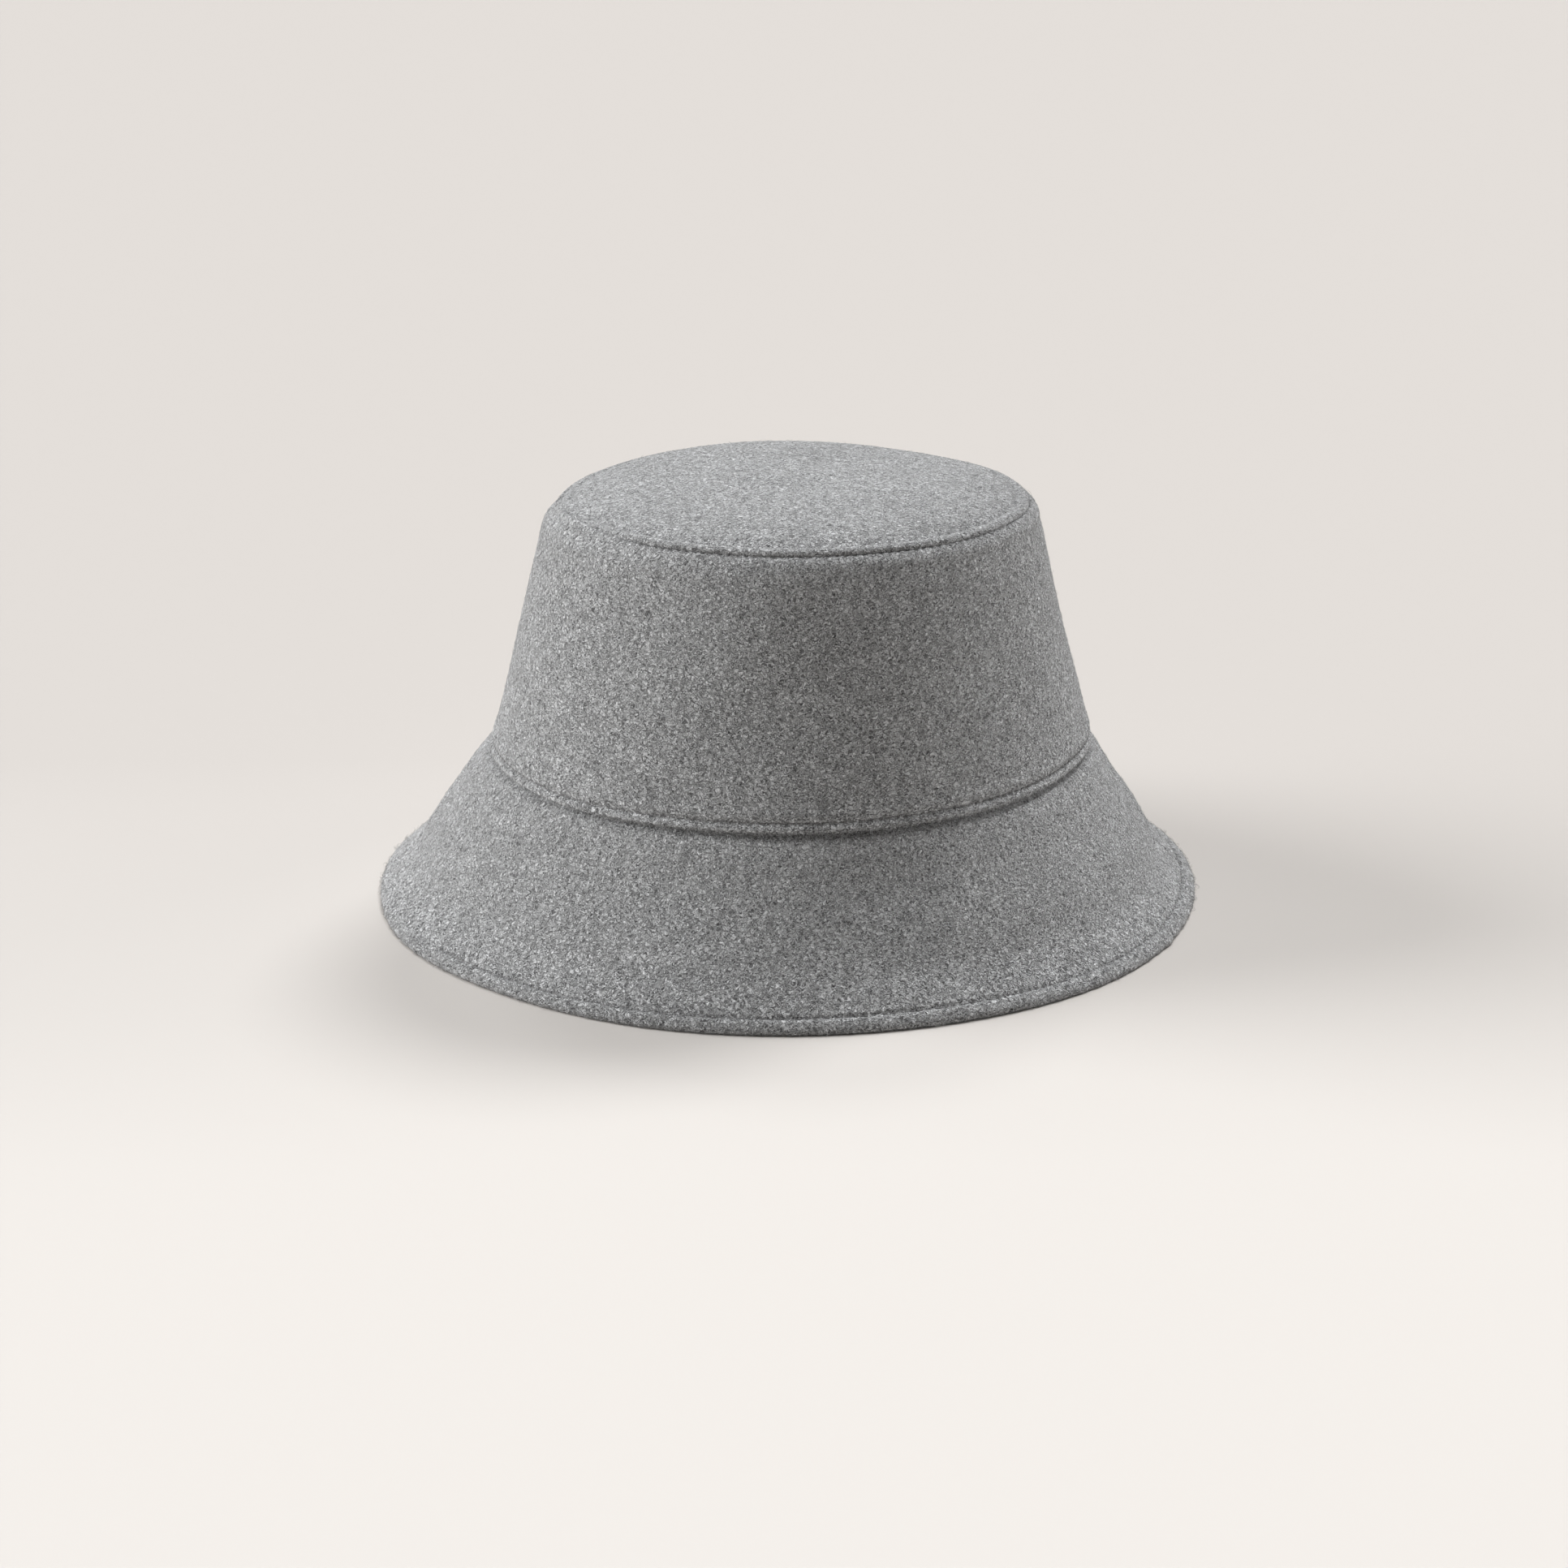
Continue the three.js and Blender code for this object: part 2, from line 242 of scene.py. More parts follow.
def turn_from(angle, centre):
    """Angle from a centre, in radians, from -pi to pi."""
    return (angle - centre + math.pi) % TAU - math.pi


def make_oval(radius, angle):
    """The hat is longer from front to back than from side to side."""
    grow = np.sin(math.pi / 2 * np.clip(radius / OVAL_FULL, 0, 1))
    return radius * np.cos(angle), (radius + OVAL_EXTRA * grow) * np.sin(angle)


FRONT = math.radians(-93)
LEFT = math.pi  # the viewer's left, at -X
RIGHT = 0.0

# how far outwards in mm, the height in mm where it is most, and its reach in mm
LEFT_FLARE = [(2.2, 33, 11), (0.4, 22, 8), (-1.6, 9, 8)]
# how far outwards in mm, the direction in degrees, and its reach in radians
EDGE_WAVES = [(1.6, -50, 0.3), (1.7, -150, 0.3), (-1.2, 25, 0.35), (-1.2, 157, 0.3)]
# how far outwards in mm, waves round the hat, the angle they start at, and their turn per mm
DENTS = [(0.4, 3, 0.9, 0.03), (0.3, 5, -1.7, 0.05), (0.18, 9, 0.4, -0.08)]


def settle(radius, height, angle):
    """The soft unevenness of the whole hat: how far a point moves outwards, up and sideways.

    crown, body, brim, edge and high say how much a point belongs to each part, from 0 to 1."""
    crown = smooth((height - 52) / 26)
    body = smooth(radius / 60)
    brim = smooth((SEAM_HEIGHT - height) / 20)
    edge = smooth((13 - height) / 11)
    high = smooth((height - 60) / 60)
    forwards = np.clip(-np.sin(angle), 0, 1)
    rightwards = np.clip(np.cos(angle), 0, 1)
    front = turn_from(angle, FRONT)
    flat_front = -0.9 * np.clip(1 - (front / 0.52) ** 2, 0, 1) * crown * body
    left_flare = sum(out * bump(height - at, reach) for out, at, reach in LEFT_FLARE)
    left_flare = left_flare * bump(turn_from(angle, LEFT), 0.75)
    right_sag = -3.6 * rightwards * bump(height - 9, 9)
    edge_waves = sum(
        out * bump(turn_from(angle, math.radians(at)), reach) for out, at, reach in EDGE_WAVES
    )
    wide_edge = (1.4 + 0.4 * forwards + edge_waves) * edge
    crease = 0.5 * bump(turn_from(angle, math.radians(-29)) * radius, 4.0) * brim
    dents = body * sum(
        out * np.sin(waves * angle + begin + height * twist) for out, waves, begin, twist in DENTS
    )
    outwards = flat_front + left_flare + right_sag + wide_edge + crease + dents
    tilt = 0.009 * smooth(height / SEAM_HEIGHT) * radius * np.cos(angle)
    back_rise = 0.6 * high * np.sin(angle) * smooth(radius / 70)
    back_right = -1.8 * high * bump(turn_from(angle, math.radians(44)), 0.75) * smooth(radius / 60)
    top_dents = 0.3 * np.sin(radius * 0.11 + 2 * angle) * (1 - body) * smooth((height - 100) / 15)
    wave = 0.5 * brim * smooth((height - 1) / 12) * np.sin(4 * angle + 0.6)
    sideways = 1.1 * smooth((height - 75) / 40) + 1.2 * smooth((height - 116) / 4)
    return outwards, tilt + back_rise + back_right + top_dents + wave, sideways


def place(path, s, depth, angle):
    """Points in millimetres for cloth coordinates."""
    radius, height = path.at(s, depth)
    outwards, upwards, sideways = settle(radius, height, angle)
    x, y = make_oval(radius, angle)
    grow = 1 + outwards / np.maximum(np.hypot(x, y), 1e-6)
    return np.stack([x * grow + sideways, y * grow, height + upwards], -1)


# ---- meshes ----------------------------------------------------------------------------------

def new_object(name, points, faces, uvs=None):
    mesh = bpy.data.meshes.new(name)
    mesh.from_pydata((points * MM).tolist(), [], faces)
    if uvs is not None:
        layer = mesh.uv_layers.new(name="cloth")
        layer.data.foreach_set("uv", np.asarray(uvs, np.float32).ravel())
    mesh.polygons.foreach_set("use_smooth", np.ones(len(mesh.polygons), bool))
    mesh.update()
    thing = bpy.data.objects.new(name, mesh)
    bpy.context.scene.collection.objects.link(thing)
    return thing


END_TURN = np.radians([30, 60, 90, 120, 150])  # corners round the rounded end of a cloth


def section(first, last, thickness, spacing, depth=0.0, closer=None):
    """A closed strip of cloth in the section: face, rounded end, back, rounded start.

    Returns distances along the path, depths, and 1 on the face and 0 on the back.
    closer gives (place, reach, spacing) spots where the points lie closer together."""
    marks = [first]
    while marks[-1] < last:
        step = spacing
        for spot, reach, fine in closer or []:
            if abs(marks[-1] - spot) < reach:
                step = min(step, fine)
        marks.append(marks[-1] + step)
    marks = np.array(marks)
    marks = first + (marks - first) * (last - first) / (marks[-1] - first)
    half = thickness / 2
    out, across = half * np.sin(END_TURN), half * np.cos(END_TURN)
    front, back = np.full(len(marks), depth), np.full(len(marks), depth + thickness)
    s = np.concatenate([marks, last + out, marks[::-1], first - out])
    d = np.concatenate([front, depth + half - across, back, depth + half + across])
    face = 1 - (d - depth) / thickness
    return s, d, face


def sweep(name, path, shape, start, stop, steps, relief=None):
    """A section carried round the hat. A full turn closes on itself; a part has flat ends."""
    s, d, face = shape
    full = abs((stop - start) - TAU) < 1e-6
    columns = steps if full else steps + 1
    angle = start + (stop - start) * np.arange(columns) / steps
    grid_s, grid_a = np.meshgrid(s, angle)
    grid_d = np.broadcast_to(d, grid_s.shape).copy()
    shade = np.zeros_like(grid_d)
    if relief is not None:
        dip, shade = relief(grid_s, grid_a, np.broadcast_to(face, grid_s.shape))
        grid_d = grid_d + dip
    points = place(path, grid_s, grid_d, grid_a).reshape(-1, 3)
    count = len(s)
    c, r = np.meshgrid(np.arange(steps), np.arange(count), indexing="ij")
    c2, r2 = (c + 1) % columns, (r + 1) % count
    here, there = c * count, c2 * count
    quads = np.stack([here + r, there + r, there + r2, here + r2], -1).reshape(-1, 4)
    mean_radius = float(np.mean(path.at(s, d)[0]))
    u = np.stack([c, c + 1, c + 1, c], -1) / steps * (stop - start) * mean_radius
    v = np.stack([s[r], s[r], s[r2], s[r2]], -1)
    uvs = np.stack([u, v], -1).reshape(-1, 2)
    faces = quads.tolist()
    if not full:
        ends = [list(range(count)), list(range((columns - 1) * count, columns * count))[::-1]]
        faces += ends
        uvs = np.concatenate([uvs, np.zeros((2 * count, 2))])
    return add_painted_crease_shade(closed_object(name, points, faces, uvs), shade)


def add_painted_crease_shade(piece, shade):
    """How deep in a seam or stitch line each point lies, from 0 to 1: painted shade that darkens
    the wool's colour there.
    """
    layer = piece.data.attributes.new("crease", "FLOAT", "POINT")
    layer.data.foreach_set("value", np.clip(np.ravel(shade), 0, 1).astype(np.float32))
    return piece


def signed_volume(points, faces):
    """Above 0 when the faces look outwards. Only the four-sided faces count."""
    quads = np.array([face for face in faces if len(face) == 4])
    a, b, c, d = (points[quads[:, k]] for k in range(4))
    return float((np.cross(a, b) * c).sum() + (np.cross(a, c) * d).sum())


def closed_object(name, points, faces, uvs):
    """A mesh whose faces all look outwards."""
    if signed_volume(points - points.mean(0), faces) < 0:
        order = []
        start = 0
        for face in faces:
            order.extend(range(start + len(face) - 1, start - 1, -1))
            start += len(face)
        faces = [face[::-1] for face in faces]
        uvs = np.asarray(uvs)[order]
    return new_object(name, points, faces, uvs)


def disc(name, path, last, thickness, spacing, steps, depth=0.0, closer=None, relief=None):
    """A round panel: a section that starts at the middle of the hat, with both middles closed."""
    s, d, face = section(0.0, last, thickness, spacing, depth, closer)
    whole = len(s) - len(END_TURN)
    s, d, face = s[:whole], d[:whole], face[:whole]
    angle = TAU * np.arange(steps) / steps
    grid_s, grid_a = np.meshgrid(s[1:-1], angle)
    grid_d = np.broadcast_to(d[1:-1], grid_s.shape).copy()
    shade = np.zeros_like(grid_d)
    if relief is not None:
        dip, shade = relief(grid_s, grid_a, np.broadcast_to(face[1:-1], grid_s.shape))
        grid_d = grid_d + dip
    points = place(path, grid_s, grid_d, grid_a).reshape(-1, 3)
    middles = place(path, s[[0, -1]], d[[0, -1]], np.zeros(2))
    points = np.concatenate([points, middles])
    count = len(s) - 2
    c, r = np.meshgrid(np.arange(steps), np.arange(count - 1), indexing="ij")
    here, there = c * count, (c + 1) % steps * count
    quads = np.stack([here + r, there + r, there + r + 1, here + r + 1], -1)
    faces = quads.reshape(-1, 4).tolist()
    total = steps * count
    for k in range(steps):
        n = (k + 1) % steps
        faces.append([total, n * count, k * count])
        faces.append([total + 1, k * count + count - 1, n * count + count - 1])
    spots = np.stack([grid_s * np.cos(grid_a), grid_s * np.sin(grid_a)], -1).reshape(-1, 2)
    spots = np.concatenate([spots, [(0, 0), (0, 0)]])
    uvs = spots[np.concatenate([np.array(face) for face in faces])]
    return add_painted_crease_shade(closed_object(name, points, faces, uvs), np.append(shade, [0, 0]))


# ---- stitches --------------------------------------------------------------------------------

def ring_length(path, s, depth):
    """Length round the hat, in mm, of a line at one place in the section."""
    angle = TAU * np.arange(361) / 360
    points = place(path, np.full(361, s), np.full(361, depth), angle)
    return float(np.linalg.norm(np.diff(points, axis=0), axis=1).sum())


STITCH_SINK = 0.7  # how far the ends of a stitch go into the cloth
STITCH_SKEW = 0.08  # how unevenly the stitches lie, in mm


def stitch_count(path, s, depth):
    return round(ring_length(path, s, depth) / STITCH_PITCH)


def stitches(name, path, s, depth, thread):
    """Separate stitches round the hat: each a short bent thread whose ends go into the cloth."""
    number = stitch_count(path, s, depth)
    around, along = 6, 7
    t = np.linspace(0, 1, along)
    sink = STITCH_SINK * (2 * t - 1) ** 4
    width = thread * np.sqrt(np.clip(1 - (2 * t - 1) ** 6, 0.03, 1))
    turn = TAU * np.arange(around) / around
    rng = np.random.default_rng(7)
    points, faces = [], []
    for k in range(number):
        skew = rng.normal(0, STITCH_SKEW)
        angle = TAU * (k + 0.09 + 0.82 * t) / number
        ring_s = s + skew * (t[:, None] - 0.5) + width[:, None] * np.cos(turn)
        ring_d = depth + sink[:, None] - width[:, None] * np.sin(turn)
        ring_a = np.repeat(angle[:, None], around, 1)
        base = sum(len(block) for block in points)
        points.append(place(path, ring_s, ring_d, ring_a).reshape(-1, 3))
        for i in range(along - 1):
            for j in range(around):
                j2 = (j + 1) % around
                a, b = base + i * around, base + (i + 1) * around
                faces.append([a + j, b + j, b + j2, a + j2])
        faces.append([base + j for j in range(around)])
        faces.append([base + (along - 1) * around + j for j in range(around)][::-1])
    points = np.concatenate(points)
    stitch = points[: around * along]
    if signed_volume(stitch - stitch.mean(0), faces[: (along - 1) * around]) < 0:
        faces = [face[::-1] for face in faces]
    return new_object(name, points, faces)


# ---- node materials --------------------------------------------------------------------------

class Nodes:
    """A short way to write a node material."""

    def __init__(self, name):
        self.material = bpy.data.materials.new(name)
        self.material.use_nodes = True
        self.tree = self.material.node_tree
        self.shader = self.tree.nodes["Principled BSDF"]

    def add(self, kind, inputs=None, **settings):
        node = self.tree.nodes.new(kind)
        for key, value in settings.items():
            setattr(node, key, value)
        for key, value in (inputs or {}).items():
            self.join(value, node.inputs[key])
        return node

    def join(self, value, socket):
        if isinstance(value, bpy.types.NodeSocket):
            self.tree.links.new(value, socket)
        else:
            socket.default_value = value

    def math(self, operation, a, b=0.0):
        return self.add("ShaderNodeMath", {0: a, 1: b}, operation=operation).outputs[0]

    def vector(self, operation, a, b):
        """Sum, difference or product of vectors, or a vector scaled by a plain value."""
        second = "Scale" if operation == "SCALE" else 1
        inputs = {0: a, second: b}
        return self.add("ShaderNodeVectorMath", inputs, operation=operation).outputs[0]

    def cloth(self):
        return self.add("ShaderNodeUVMap", uv_map="cloth").outputs[0]

    def mapping(self, vector, scale, turn=0.0):
        node = self.add("ShaderNodeMapping", {"Vector": vector})
        node.inputs["Scale"].default_value = scale
        node.inputs["Rotation"].default_value = (0, 0, math.radians(turn))
        return node.outputs[0]

    def noise(self, vector, scale=1.0, detail=2.0, roughness=0.5, output=0):
        inputs = {"Vector": vector, "Scale": scale, "Detail": detail, "Roughness": roughness}
        node = self.add("ShaderNodeTexNoise", inputs, noise_dimensions="2D")
        return node.outputs[output]

    def stretch(self, value, low, high, to_low=0.0, to_high=1.0):
        ends = {"From Min": low, "From Max": high, "To Min": to_low, "To Max": to_high}
        return self.add("ShaderNodeMapRange", {"Value": value, **ends}).outputs[0]

    def grey(self, value):
        return self.add("ShaderNodeCombineColor", {0: value, 1: value, 2: value}).outputs[0]

    def bumped(self, height, strength, distance):
        inputs = {"Height": height, "Strength": strength, "Distance": distance}
        node = self.add("ShaderNodeBump", inputs)
        self.join(node.outputs[0], self.shader.inputs["Normal"])


USUAL = (0.3, 0.7)  # noise seldom leaves this range
FIBRE_TURNS = (8, 52, 97, 141)  # directions that the fibres are matted in, in degrees
FIBRE_SCALE = (0.85, 2.7, 1.0)  # noise per mm along a fibre and across it
FIBRE_CURL = 2.4  # how far the fibres wander from straight, in mm
SPECK_SCALE = 2.4  # noise per mm for flecks, patches and broad shading
PATCH_SCALE = 0.28
BROAD_SCALE = 0.045
PLY_SCALE = 1800.0  # per metre
COOL = (0.985, 1.0, 1.02)  # the wool is a very slightly blue grey
LIGHTEST_WOOL = 0.82


def wool_material(name, level):
    """Brushed melange flannel: matted light and dark fibres over soft uneven patches, with painted
    shade darkening its seams and stitch lines.
    """
    n = Nodes(name)
    cloth = n.cloth()
    wander = n.noise(cloth, 0.9, output="Color")
    bend = n.vector("SCALE", n.vector("SUBTRACT", wander, (0.5, 0.5, 0.5)), FIBRE_CURL)
    curly = n.vector("ADD", cloth, bend)
    fibres = None
    for turn in FIBRE_TURNS:
        fibre = n.noise(n.mapping(curly, FIBRE_SCALE, turn), detail=1.0)
        fibres = fibre if fibres is None else n.math("ADD", fibres, fibre)
    patch = n.noise(curly, PATCH_SCALE, 1.5)
    broad = n.noise(cloth, BROAD_SCALE)
    speck = n.noise(curly, SPECK_SCALE, 0.6, 0.6)
    tone = n.stretch(patch, *USUAL, 0.82, 1.18)
    tone = n.math("MULTIPLY", tone, n.stretch(broad, *USUAL, 0.95, 1.05))
    tone = n.math("MULTIPLY", tone, n.stretch(speck, *USUAL, 0.42, 1.58))
    strands = n.stretch(fibres, 1.6, 2.4, 0.2, 1.8)
    tone = n.math("MULTIPLY", tone, n.math("MAXIMUM", strands, 0.3))
    # painted shade: the wool's colour darkens by up to 0.6 where the crease attribute is high, in
    # seams, stitch lines and needle holes
    crease = n.add("ShaderNodeAttribute", attribute_name="crease").outputs["Fac"]
    painted_crease_shade = n.math("SUBTRACT", 1.0, n.math("MULTIPLY", crease, 0.6))
    tone = n.math("MULTIPLY", tone, painted_crease_shade)
    shade = n.math("MINIMUM", n.math("MULTIPLY", tone, level), LIGHTEST_WOOL)
    n.join(n.vector("MULTIPLY", n.grey(shade), COOL), n.shader.inputs["Base Color"])
    n.bumped(n.math("ADD", fibres, speck), 1.0, 0.00075)
    n.shader.inputs["Roughness"].default_value = 1.0
    n.shader.inputs["Specular IOR Level"].default_value = 0.12
    n.shader.inputs["Sheen Weight"].default_value = 0.3
    n.shader.inputs["Sheen Roughness"].default_value = 0.45
    return n.material


def fuzz_material(name, low, high):
    """Loose surface fibres, some light and some dark."""
    n = Nodes(name)
    strand = n.add("ShaderNodeHairInfo").outputs["Random"]
    n.join(n.grey(n.stretch(strand, 0.0, 1.0, low, high)), n.shader.inputs["Base Color"])
    n.shader.inputs["Roughness"].default_value = 0.9
    n.shader.inputs["Specular IOR Level"].default_value = 0.1
    return n.material


def thread_material(name, level):
    """Spun thread, unevenly twisted."""
    n = Nodes(name)
    in_hat = n.add("ShaderNodeTexCoord").outputs["Object"]
    inputs = {"Vector": in_hat, "Scale": PLY_SCALE, "Detail": 2.0}
    ply = n.add("ShaderNodeTexNoise", inputs).outputs[0]
    shade = n.stretch(ply, *USUAL, level * 0.6, level * 1.4)
    n.join(n.grey(shade), n.shader.inputs["Base Color"])
    n.bumped(ply, 0.5, 0.0001)
    n.shader.inputs["Roughness"].default_value = 0.75
    return n.material


def woven_material(name, colour, warp, weft, contrast, roughness, sheen=0.0):
    """A plain weave with the given threads per millimetre, coloured and raised by its threads."""
    n = Nodes(name)
    split = n.add("ShaderNodeSeparateXYZ", {0: n.cloth()})
    across = n.math("SINE", n.math("MULTIPLY", split.outputs[0], warp * TAU))
    down = n.math("SINE", n.math("MULTIPLY", split.outputs[1], weft * TAU))
    weave = n.stretch(n.math("MULTIPLY", across, down), -1.0, 1.0)
    slub = n.noise(n.mapping(n.cloth(), (0.2, 2.5, 1.0)), 1.0, 3.0, 0.6)
    threads = n.stretch(weave, 0.0, 1.0, 1 - contrast, 1 + contrast)
    shade = n.math("MULTIPLY", threads, n.stretch(slub, *USUAL, 0.85, 1.15))
    n.join(n.vector("SCALE", colour, shade), n.shader.inputs["Base Color"])
    n.bumped(n.math("ADD", weave, n.math("MULTIPLY", slub, 0.6)), 0.4, 0.00012)
    n.shader.inputs["Roughness"].default_value = roughness
    n.shader.inputs["Sheen Weight"].default_value = sheen
    return n.material


WOOL = wool_material("wool melange", 0.475)
WOOL_THREAD = thread_material("grey thread", 0.17)
CANVAS = woven_material("fused canvas", (0.72, 0.7, 0.64), 1.1, 1.1, 0.16, 0.9)
SATIN = woven_material("lining satin", (0.05, 0.052, 0.058), 2.6, 1.2, 0.22, 0.38, 0.1)
RIBBON = woven_material("sweatband ribbon", (0.03, 0.031, 0.034), 0.35, 1.4, 0.35, 0.7, 0.2)
TAPE = woven_material("blank label tape", (0.78, 0.76, 0.72), 2.2, 1.6, 0.1, 0.6)


def dress(piece, material, slot, *nodes, body="hat"):
    """Gives a piece its material and its body, and hides the CAD nodes that it stands for."""
    piece.data.materials.append(material)
    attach(piece, body)
    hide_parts(*nodes)
    return piece


# ---- wool panels -----------------------------------------------------------------------------

HALVES = {"front": (math.pi, TAU), "back": (0.0, math.pi)}
SEAM_GAP = 0.0009  # angle left free on each side of a side seam, in radians
HALF_STEPS = 440


def side_seam(angle, radius):
    """Where the two halves meet, the cloth turns in over about two millimetres, with painted shade
    along the seam.
    """
    away = np.abs(turn_from(2 * angle, 0.0)) / 2 * radius
    return 1.1 * bump(away, 1.0) + 0.15 * bump(away - 3.2, 1.2), 0.7 * bump(away, 0.8)


def needle_holes(count, angle):
    """1 at each needle hole of a row and 0 half way to the next."""
    return (0.5 + 0.5 * np.cos(count * angle)) ** 2


def stitch_line(s, angle, row, count, depth, width, dark):
    """The line that a row of stitches pulls down, deeper at each needle hole, and painted shade
    along it that is darkest at each needle hole.
    """
    holes = needle_holes(count, angle)
    line = depth * bump(s - row, width) * (0.8 + 0.45 * holes)
    return line, dark * bump(s - row, width * 0.7) * (0.5 + 0.5 * holes)


CROWN_COUNT = stitch_count(CROWN, WELT, 0.0)
EDGE_S = BRIM_LENGTH - EDGE_ROW
EDGE_COUNT = stitch_count(BRIM, EDGE_S, 0.0)
TIP_COUNT = stitch_count(CROWN, CROWN_SEAM_TOP, 0.0)
under_nose = Path([nose_arc(-64, edge_normal - 180, 20)], side=-1)
UNDER_ROW = under_nose.last + EDGE_ROW


def openness(angle):
    """The base of the crown stands off the brim all round, but least at the sides."""
    left, right = turn_from(angle, LEFT), turn_from(angle, RIGHT)
    return 1 - 0.75 * bump(left, 0.6) - 0.7 * bump(right, 0.6)


def seam_shows(angle):
    """The tip seam is sharp in front and at the back, softer at the right and flat at the left."""
    left = smooth((np.abs(turn_from(angle, LEFT)) - 0.45) / 0.5)
    return left * (1 - 0.45 * bump(turn_from(angle, RIGHT), 0.5))


def crown_relief(s, angle, face):
    groove, dark = stitch_line(s, angle, WELT, CROWN_COUNT, 0.5, 0.55, 0.8)
    puff = -0.55 * bump(s - 1.4, 1.1) - 0.25 * bump(s - WELT - 2.2, 1.3)
    flush = 1.2 * (1 - openness(angle)) * bump(s, 2.6)
    holes = needle_holes(TIP_COUNT, angle)
    top = bump(s - CROWN_SEAM_TOP, 0.6) * seam_shows(angle)
    seam, painted_seam_shade = side_seam(angle, 85.0)
    # painted shade under the crown's folded hem, where it stands off the brim
    painted_hem_shade = 0.45 * bump(s - HEM + 0.5, 0.3) * openness(angle)
    rim = -0.6 * (1 - seam_shows(angle)) * bump(s - CROWN_SEAM_TOP, 1.6)
    dip = face * (groove + puff + flush + 0.35 * top * holes + rim) + seam
    # The second value is painted shade: along the stitch line, at the tip seam's needle holes, in
    # the side seams and under the hem.
    return dip, np.maximum.reduce([dark, top * 0.4 * holes, painted_seam_shade, painted_hem_shade])


def brim_relief(s, angle, face):
    groove, dark = stitch_line(s, angle, EDGE_S, EDGE_COUNT, 0.7, 0.6, 0.95)
    shows = 0.15 + 0.85 * smooth((np.abs(turn_from(angle, LEFT)) - 0.35) / 0.45)
    puff = -0.3 * bump(s - EDGE_S - 1.8, 1.5) + 0.25 * bump(s - EDGE_S + 1.4, 1.6)
    ripple = 0.08 * np.sin(EDGE_COUNT / 3 * angle) * smooth((s - EDGE_S + 6) / 6)
    notch = bump(s - 0.2, 0.5) * openness(angle)
    shelf = -(0.7 * smooth((s + 1.5) / 1.2) + 0.6 * smooth((s - 0.6) / 2.2))
    shelf = shelf * (1 - smooth((s - 5) / 16))
    seam, painted_seam_shade = side_seam(angle, 110.0)
    seam = seam * (1 - 0.7 * smooth((s - EDGE_S) / 3))
    dip = face * ((groove + puff) * shows + ripple + 0.3 * notch + shelf) + seam
    # The second value is painted shade: along the edge stitches where they show, in the notch under
    # the crown's hem, and in the side seams.
    return dip, np.maximum.reduce([dark * shows, 0.4 * notch, painted_seam_shade])


def under_relief(s, angle, face):
    groove, dark = stitch_line(s, angle, UNDER_ROW, EDGE_COUNT, 0.6, 0.9, 0.6)
    seam, painted_seam_shade = side_seam(angle, 110.0)
    # The second value is painted shade along the stitches and in the side seams.
    return face * groove + seam, np.maximum(dark, painted_seam_shade)


def tip_relief(s, angle, face):
    holes = needle_holes(TIP_COUNT, angle)
    base = smooth((s - TIP_LIP + 0.5) / 0.6)
    pull = 0.08 * bump(s - TIP_LIP + 0.8, 0.8) * holes
    flat = 0.5 * (1 - seam_shows(angle)) * bump(s - (TIP_RIDGE + TIP_LIP) / 2, 2.0)
    # painted shade at the seam, darkest at each needle hole, and in the dip before the welt
    dark = np.maximum(base * (0.05 + 0.45 * holes), 0.35 * bump(s - TIP_RIDGE + 1.4, 0.7))
    return face * (pull + flat), dark * seam_shows(angle)


def half_panels(name, path, shape, relief, material, slot):
    """The front and back halves of one layer, with a hairline between them at the sides."""
    pieces = {}
    for half, (start, stop) in HALVES.items():
        node = f"{name}_{half}"
        first, last = start + SEAM_GAP, stop - SEAM_GAP
        piece = sweep(f"{node}_cloth", path, shape, first, last, HALF_STEPS, relief)
        pieces[half] = dress(piece, material, slot, node)
    return pieces


crown_shape = section(
    HEM,
    CROWN_SEAM_TOP + SIDE_ALLOWANCE,
    CROWN_CLOTH,
    1.6,
    closer=[(WELT, 4.0, 0.3), (CROWN_SEAM_TOP, 8.0, 0.4)],
)
crown_sides = half_panels("crown_side", CROWN, crown_shape, crown_relief, WOOL, "wool")

brim_shape = section(
    -ALLOWANCE,
    BRIM.last,
    EDGE_WOOL,
    1.8,
    closer=[(1.5, 3.0, 0.35), (EDGE_S, 4.0, 0.35), (BRIM_LENGTH + 3, 4.5, 0.4)],
)
brim_tops = half_panels("brim_top", BRIM, brim_shape, brim_relief, WOOL, "wool")

under_shape = section(
    0.0,
    UNDER.last,
    EDGE_WOOL,
    1.8,
    closer=[(UNDER_ROW, 3.0, 0.35), (2.0, 4.0, 0.5)],
)
brim_unders = half_panels("brim_under", UNDER, under_shape, under_relief, WOOL, "wool")

tip_panel = disc(
    "crown_tip_cloth",
    TIP,
    TIP_LIP + TIP_ALLOWANCE,
    CROWN_WOOL,
    2.0,
    760,
    closer=[(TIP_LIP - 1, 5.0, 0.35)],
    relief=tip_relief,
)
dress(tip_panel, WOOL, "wool", "crown_tip")


# ---- hidden layers ---------------------------------------------------------------------------

CANVAS_CLOTH = 0.6
CANVAS_MARGIN = (1.5, 8.0)  # left free above the brim's allowance and below the tip seam
STIFFENER_CLOTH = 0.7
STIFFENER_MARGIN = (8.0, 10.0)  # left free at the brim's seam and at its edge
TIP_CANVAS_RADIUS = 66.5

interlining_shape = section(
    ALLOWANCE + CANVAS_MARGIN[0],
    CROWN_SEAM_TOP - CANVAS_MARGIN[1],
    CANVAS_CLOTH,
    3.0,
    LAP + GAP,
)
half_panels("crown_interlining", CROWN, interlining_shape, None, CANVAS, "interlining")

